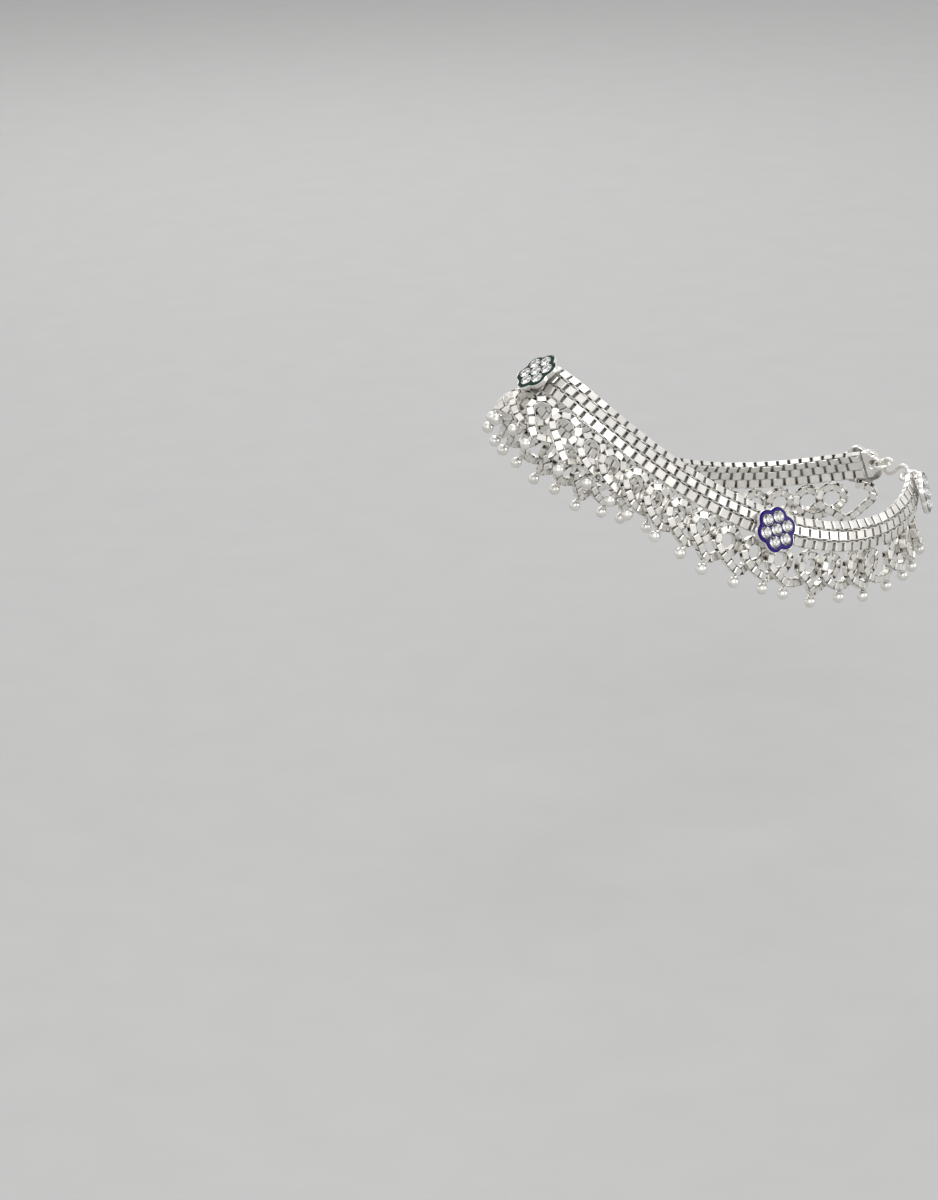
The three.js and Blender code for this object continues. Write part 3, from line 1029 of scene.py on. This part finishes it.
# the enamel inside that rim, from its bottom to its domed top
enamelRows = [
    {"inset": flower["rim"] + 0.12, "height": 0.02 - flower["floor"], "dark": 0},
    {"inset": flower["rim"] + 0.06, "height": -0.19, "dark": 0},
    {"inset": flower["rim"] + 0.005, "height": -0.08, "dark": 0},
    {"inset": flower["rim"] + 0.06, "height": -0.045, "dark": 0},
    {"inset": flower["rim"] + 0.25, "height": 0.005, "dark": 0},
    {"inset": flower["rim"] + 0.45, "height": 0.02, "dark": 0},
]

flowerRows = [
    {"node": "flower_1_green", "place": 0.008, "drop": 1.4, "enamel": "green"},
    {"node": "flower_2_violet", "place": 0.241, "drop": 1.9, "enamel": "violet"},
    {"node": "flower_3_green", "place": 0.500, "drop": 1.2, "enamel": "green"},
    {"node": "flower_4_violet", "place": 0.759, "drop": 1.9, "enamel": "violet"},
    {"node": "flower_5_green", "place": 0.992, "drop": 1.4, "enamel": "green"},
]

stoneRing = flower["stoneDiameter"] + flower["stoneGap"]
stoneSpots = [(0, 0)] + [
    (stoneRing * math.cos(2 * math.pi * petal / flower["petals"]),
     stoneRing * math.sin(2 * math.pi * petal / flower["petals"]))
    for petal in range(flower["petals"])]


# the flower's outline at a distance inside its edge, with its valleys rounded
def petalRing(inset, height):
    reach = flower["stoneDiameter"] / 2 + flower["margin"]
    valley = stoneRing + reach - flower["sink"]
    sector = 2 * math.pi / flower["petals"]
    sharp = flower["valleySharpness"]
    ring = []
    for step in range(flower["outlineSteps"]):
        turn = 2 * math.pi * step / flower["outlineSteps"]
        aside = (turn + sector / 2) % sector - sector / 2
        depth = max(reach ** 2 - (stoneRing * math.sin(aside)) ** 2, 0)
        lobe = stoneRing * math.cos(aside) + math.sqrt(depth)
        far = valley + math.log((math.exp(sharp * (lobe - valley)) + 1) / 2) / sharp
        if lobe > valley + flower["valleyReach"]:
            far = min(far, lobe)
        ring.append(((far - inset) * math.cos(turn), (far - inset) * math.sin(turn), height))
    return ring


def petalWall(rows):
    points, faces = wall([petalRing(row["inset"], row["height"]) for row in rows])
    paintedShade = [row["dark"] for row in rows for _ in range(flower["outlineSteps"])]
    return {"points": points, "faces": faces, "paintedShade": paintedShade}


# the enamel between rim and stones, with a hole for each stone's cup
def enamelShape():
    slab = petalWall(enamelRows)
    cup = flower["stoneSeen"] / 2 + flower["joint"]
    drill = lathe([(cup, -1), (cup, 1)], flower["cupSides"])
    drills = joinShapes([shifted(drill, x, y) for x, y in stoneSpots])
    things = []
    for name, shape in (("slab", slab), ("drills", drills)):
        mesh = meshFrom(name, shape["points"], shape["faces"])
        turnOut(mesh)
        thing = bpy.data.objects.new(name, mesh)
        bpy.context.scene.collection.objects.link(thing)
        things.append(thing)
    cut = things[0].modifiers.new("cups", "BOOLEAN")
    cut.operation = "DIFFERENCE"
    cut.solver = "EXACT"
    cut.object = things[1]
    bpy.context.view_layer.update()
    ready = things[0].evaluated_get(bpy.context.evaluated_depsgraph_get())
    mesh = bpy.data.meshes.new_from_object(ready)
    shape = {"points": [tuple(point.co) for point in mesh.vertices],
             "faces": [tuple(face.vertices) for face in mesh.polygons]}
    for thing in things:
        bpy.data.objects.remove(thing)
    return shape


# a cut stone: a table, kite facets round it, a girdle and a pavilion that is cut off at its heart
def stoneShape():
    radius = flower["stoneSeen"] / 2 - stone["play"]
    girdle = flower["girdleHeight"]
    facets = stone["facets"]
    sides = 2 * facets

    def ringOf(reach, height, count, shift=0.0):
        return [(reach * math.cos(2 * math.pi * (side + shift) / count),
                 reach * math.sin(2 * math.pi * (side + shift) / count), height)
                for side in range(count)]

    starHeight = girdle + stone["starRise"] * (stone["height"] - girdle)
    points = (ringOf(radius * stone["table"], stone["height"], facets)
              + ringOf(radius * stone["star"], starHeight, facets, 0.5)
              + ringOf(radius, girdle, sides)
              + ringOf(radius, girdle - stone["girdle"], sides)
              + ringOf(radius * stone["heart"], girdle - stone["heartDepth"], facets))
    starAt, topAt, underAt, heartAt = facets, 2 * facets, 4 * facets, 6 * facets
    faces = [tuple(range(facets))]
    for side in range(facets):
        following = (side + 1) % facets
        star = starAt + side
        low, mid, high = (topAt + (2 * side + step) % sides for step in range(3))
        faces += [(side, star, following), (star, low, mid), (star, mid, high),
                  (side, low, star), (following, star, high)]
    for side in range(sides):
        following = (side + 1) % sides
        faces.append((topAt + side, underAt + side, underAt + following, topAt + following))
    for side in range(facets):
        heart = heartAt + side
        nextHeart = heartAt + (side + 1) % facets
        low, mid, high = (underAt + (2 * side + step) % sides for step in range(3))
        faces += [(low, heart, mid), (mid, heart, nextHeart), (mid, nextHeart, high)]
    faces.append(tuple(reversed(range(heartAt, heartAt + facets))))
    return {"points": points, "faces": faces}


# the foot and the bottom of the cup have painted reflection: their sides are painted dark and light
# in turns, for the specks that foil facets reflect
def foilShape():
    radius = flower["stoneSeen"] / 2
    profile = [(row["reach"] * radius - row["inset"], flower["girdleHeight"] - row["depth"])
               for row in foilRows]
    shape = lathe(profile, foil["sides"])
    shades = foil["shades"]
    for ring in (0, len(profile) - 1):
        for side in range(foil["sides"]):
            shade = shades[side * foil["shadeStep"] % len(shades)]
            shape["paintedShade"][ring * foil["sides"] + side] = shade
    return shape


def postShape():
    radius = flower["post"] / 2
    top = -flower["thickness"]
    return lathe([(radius, top - flower["lift"]), (radius, top + flower["joint"])],
                 flower["postSides"])


def makeFlowers():
    parts = {"cups": [], "green": [], "violet": [], "stones": []}
    enamel = enamelShape()
    cups = joinShapes([petalWall(cupRows)] + [shifted(foilShape(), x, y) for x, y in stoneSpots])
    stones = joinShapes([shifted(stoneShape(), x, y) for x, y in stoneSpots])
    lift = band["thickness"] / 2 + fringe["seatGap"] + flower["lift"] + flower["thickness"]
    turn = math.radians(flower["turn"])
    for row in flowerRows:
        place = bandStart + row["place"] * (bandEnd - bandStart)
        station = stationAt(place)
        lean = leanAt(band["flare"], station["turn"])
        face = faceOf(station, lean)
        fall = fallOf(station, lean)
        along = station["along"] * math.cos(turn) - fall * math.sin(turn)
        axes = (along, np.cross(face, along), face)
        post = onBand(place, band["width"] / 2, lift)
        centre = post + fall * row["drop"]
        parts["cups"] += [placed(cups, centre, *axes), placed(postShape(), post, *axes)]
        parts[row["enamel"]].append(placed(enamel, centre, *axes))
        parts["stones"].append(placed(stones, centre, *axes))
    nodes = [row["node"] for row in flowerRows]
    pieceFrom("flower_cups", joinShapes(parts["cups"]), plainSilver, nodes)
    for colour, finish in (("green", greenEnamel), ("violet", violetEnamel)):
        pieceFrom("flower_enamel_" + colour, joinShapes(parts[colour]), finish,
                  [node for node in nodes if colour in node])
    pieceFrom("flower_stones", joinShapes(parts["stones"]), clearStone,
              nodes, sharpAngle=1)


makeFlowers()


# the closure: plates, rings and hook

closure = {
    "eyeDiameter": 2.4,
    "plateRim": 0.8,
    "plateNeck": 1.1,
    "plateThickness": 1.1,
    "plateEdge": 0.14,
    "ringDiameter": 4,
    "ringWire": 0.9,
    "hookWire": 1,
    "hookWidth": 3.4,
    "hookTips": (0.35, 0.75),
    "hookSteps": 8,
    "plateSteps": 96,
    "ringSteps": 36,
    "wireSides": 12,
}

# half of the hook, in halves of its width: how far along, and to a side
hookBends = [
    {"along": 2.1, "aside": -0.95},
    {"along": 1, "aside": -1},
    {"along": 0.25, "aside": -0.72},
    {"along": 0, "aside": 0},
    {"along": 0.25, "aside": 0.72},
    {"along": 1, "aside": 1},
    {"along": 2.2, "aside": 0.6},
]

eyeInset = fringe["seatGap"] + closure["plateNeck"] + closure["eyeDiameter"] / 2
ringInset = eyeInset + closure["eyeDiameter"] / 2 - fringe["seatGap"] - closure["ringWire"] / 2


# how far a plate's edge is from its eye's middle, in the direction of a turn
def plateReach(turn):
    reach = closure["eyeDiameter"] / 2 + closure["plateRim"]
    if math.cos(turn) >= 0:
        return reach
    half = band["width"] / 2
    neck = eyeInset - fringe["seatGap"] - closure["plateNeck"]
    limits = [(eyeInset - fringe["seatGap"]) / -math.cos(turn)]
    if abs(math.sin(turn)) > 1e-6:
        limits.append(half / abs(math.sin(turn)))
    slope = (half - reach) / neck
    limits.append(reach / max(abs(math.sin(turn)) + slope * math.cos(turn), 1e-6))
    return min(limits)


def plateShape():
    steps = closure["plateSteps"]
    edge = closure["plateEdge"]
    half = closure["plateThickness"] / 2
    hole = closure["eyeDiameter"] / 2
    outside = [(-edge, -half), (0, edge - half), (0, half - edge), (-edge, half)]
    layers = [(True, shift, height) for shift, height in outside]
    layers += [(False, -shift, height) for shift, height in reversed(outside)]
    rings = []
    for outer, shift, height in layers:
        ring = []
        for step in range(steps):
            turn = 2 * math.pi * step / steps
            far = (plateReach(turn) if outer else hole) + shift
            ring.append((eyeInset + far * math.cos(turn), far * math.sin(turn), height))
        rings.append(ring)
    points, faces = wall(rings, closed=True)
    return {"points": points, "faces": faces}


# a round wire along a path, rounded at its ends
def tubeAlong(path, diameter, sides, normal):
    along = unit(np.gradient(path, axis=0))
    side = unit(np.cross(np.broadcast_to(normal, along.shape), along))
    up = np.cross(along, side)
    ends = closure["hookTips"]
    rings = []
    for number, (point, across, over) in enumerate(zip(path, side, up)):
        fromEnd = min(number, len(path) - 1 - number)
        radius = diameter / 2 * (ends[fromEnd] if fromEnd < len(ends) else 1)
        rings.append([point + radius * (math.cos(lap) * across + math.sin(lap) * over)
                      for lap in np.linspace(0, 2 * math.pi, sides, endpoint=False)])
    points, faces = wall(rings)
    return {"points": points, "faces": faces}


def closureEnd(side):
    end = bandEnd if side > 0 else bandStart
    middle = band["width"] / 2
    station = stationAt(end)
    along = side * station["along"]
    face = faceOf(station, leanAt(band["flare"], station["turn"]))
    seat = onBand(end, middle)
    eyePoint = seat + along * ringInset
    hookPoint = onBand(end + side * (ringInset + closure["ringDiameter"]), middle)
    reach = unit(hookPoint - eyePoint)
    across = unit(np.cross(face, reach))
    plate = placed(plateShape(), seat, along, np.cross(face, along), face)
    ring = wireRing(closure["ringDiameter"] / 2, closure["ringWire"],
                    closure["ringSteps"], closure["wireSides"], dark=0)
    ring = placed(ring, eyePoint + reach * closure["ringDiameter"] / 2,
                  across, reach, np.cross(across, reach))
    return plate, ring, eyePoint, reach


def makeClosure():
    ends = [closureEnd(1), closureEnd(-1)]
    grip = (closure["ringDiameter"] - closure["ringWire"] / 2
            - fringe["seatGap"] - closure["hookWire"] / 2)
    start, finish = (end[2] + end[3] * grip for end in ends)
    along = unit(finish - start)
    across = unit(np.cross(stationAt(loopLength / 2)["out"], along))
    half = closure["hookWidth"] / 2
    knots = [start + along * bend["along"] * half + across * bend["aside"] * half
             for bend in hookBends]
    knots += [finish - along * bend["along"] * half - across * bend["aside"] * half
              for bend in reversed(hookBends)]
    knots = np.array(knots)
    path, _ = smoothPath(knots, knots, closure["hookSteps"])
    hook = tubeAlong(path, closure["hookWire"], closure["wireSides"], np.cross(along, across))
    pieceFrom("end_plates", joinShapes([end[0] for end in ends]), plainSilver,
              ["end_plate_near", "end_plate_far"])
    pieceFrom("end_rings", joinShapes([end[1] for end in ends]), plainSilver,
              ["end_ring_near", "end_ring_far"])
    pieceFrom("hook_of_wire", hook, plainSilver, ["closing_hook"])


makeClosure()
